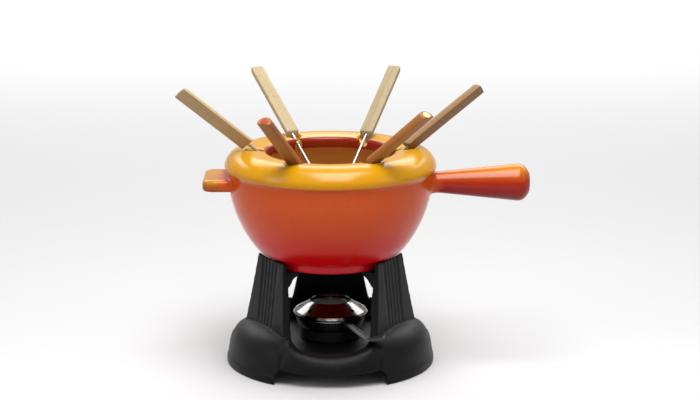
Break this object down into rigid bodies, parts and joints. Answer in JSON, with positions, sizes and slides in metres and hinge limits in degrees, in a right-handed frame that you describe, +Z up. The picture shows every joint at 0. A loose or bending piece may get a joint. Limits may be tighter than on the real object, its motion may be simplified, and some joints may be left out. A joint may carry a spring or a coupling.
{
  "type": "fondue set",
  "caption": "Cast fondue pot with conical handle, tab and scooped rim, wooden-handled forks, three-legged stand and spirit burner.",
  "frame": {"origin": "centre of the bounding box in plan, at the level of the base ring's foot", "axes": "+Z up; +X from the pot's tab towards its long handle; -Y the open front between two legs, where the burner's lever comes out"},
  "size_m": [0.3672, 0.2846, 0.3008],
  "materials": {
    "pot_enamel": "gloss enamel over cast iron, amber rim shading to deep red foot",
    "stand_black": "satin black enamel",
    "grip_wood": "oiled light beech",
    "fork_steel": "satin",
    "marker_1": "moulded",
    "marker_2": "moulded",
    "marker_3": "moulded",
    "marker_4": "moulded",
    "marker_5": "moulded",
    "marker_6": "moulded",
    "tray_black": "black enamel",
    "chrome": "polished",
    "cup_steel": "pressed sheet",
    "lever_steel": "bent strip",
    "wool": "absorbent wadding",
    "gauze": "woven wire",
    "grip_black": "heat-resisting moulding"
  },
  "bodies": {
    "stand": {"stand": "stand_black"},
    "pot": {"pot": "pot_enamel"},
    "fork_1": {"fork_1_handle": "grip_wood", "fork_1_shaft": "fork_steel", "fork_1_marker": "marker_1"},
    "fork_2": {"fork_2_handle": "grip_wood", "fork_2_shaft": "fork_steel", "fork_2_marker": "marker_2"},
    "fork_3": {"fork_3_handle": "grip_wood", "fork_3_shaft": "fork_steel", "fork_3_marker": "marker_3"},
    "fork_4": {"fork_4_handle": "grip_wood", "fork_4_shaft": "fork_steel", "fork_4_marker": "marker_4"},
    "fork_5": {"fork_5_handle": "grip_wood", "fork_5_shaft": "fork_steel", "fork_5_marker": "marker_5"},
    "fork_6": {"fork_6_handle": "grip_wood", "fork_6_shaft": "fork_steel", "fork_6_marker": "marker_6"},
    "burner": {"burner_tray": "tray_black", "burner_bowl": "chrome", "burner_cup": "cup_steel", "burner_wool": "wool", "burner_gauze": "gauze", "burner_gauze_ring": "cup_steel"},
    "burner_cover": {"burner_cone": "chrome"},
    "regulator": {"burner_shutter": "cup_steel", "burner_lever": "lever_steel", "burner_lever_grip": "grip_black"}
  },
  "joints": [
    {"name": "pot_lift", "type": "slide", "parent": "stand", "child": "pot", "axis": [0, 0, 1], "range_m": [0, 0.13]},
    {"name": "fork_1_draw", "type": "slide", "parent": "pot", "child": "fork_1", "axis": [-0.6902, -0.3528, 0.6318], "range_m": [0, 0.21]},
    {"name": "fork_2_draw", "type": "slide", "parent": "pot", "child": "fork_2", "axis": [-0.419, 0.6731, 0.6095], "range_m": [0, 0.21]},
    {"name": "fork_3_draw", "type": "slide", "parent": "pot", "child": "fork_3", "axis": [-0.2955, -0.7463, 0.5964], "range_m": [0, 0.21]},
    {"name": "fork_4_draw", "type": "slide", "parent": "pot", "child": "fork_4", "axis": [0.3335, 0.7172, 0.6119], "range_m": [0, 0.21]},
    {"name": "fork_5_draw", "type": "slide", "parent": "pot", "child": "fork_5", "axis": [0.5318, -0.5896, 0.6079], "range_m": [0, 0.21]},
    {"name": "fork_6_draw", "type": "slide", "parent": "pot", "child": "fork_6", "axis": [0.7742, 0.1892, 0.604], "range_m": [0, 0.21]},
    {"name": "burner_draw", "type": "slide", "parent": "stand", "child": "burner", "axis": [0, -0.9903, 0.1392], "range_m": [0, 0.2]},
    {"name": "burner_cover_lift", "type": "slide", "parent": "burner", "child": "burner_cover", "axis": [0, 0, 1], "range_m": [0, 0.02]},
    {"name": "regulator_turn", "type": "hinge", "parent": "burner", "child": "regulator", "pos_m": [-0.02498, 0.00297, 0.0493], "axis": [0, 0, 1], "range_deg": [-45, 0]}
  ]
}
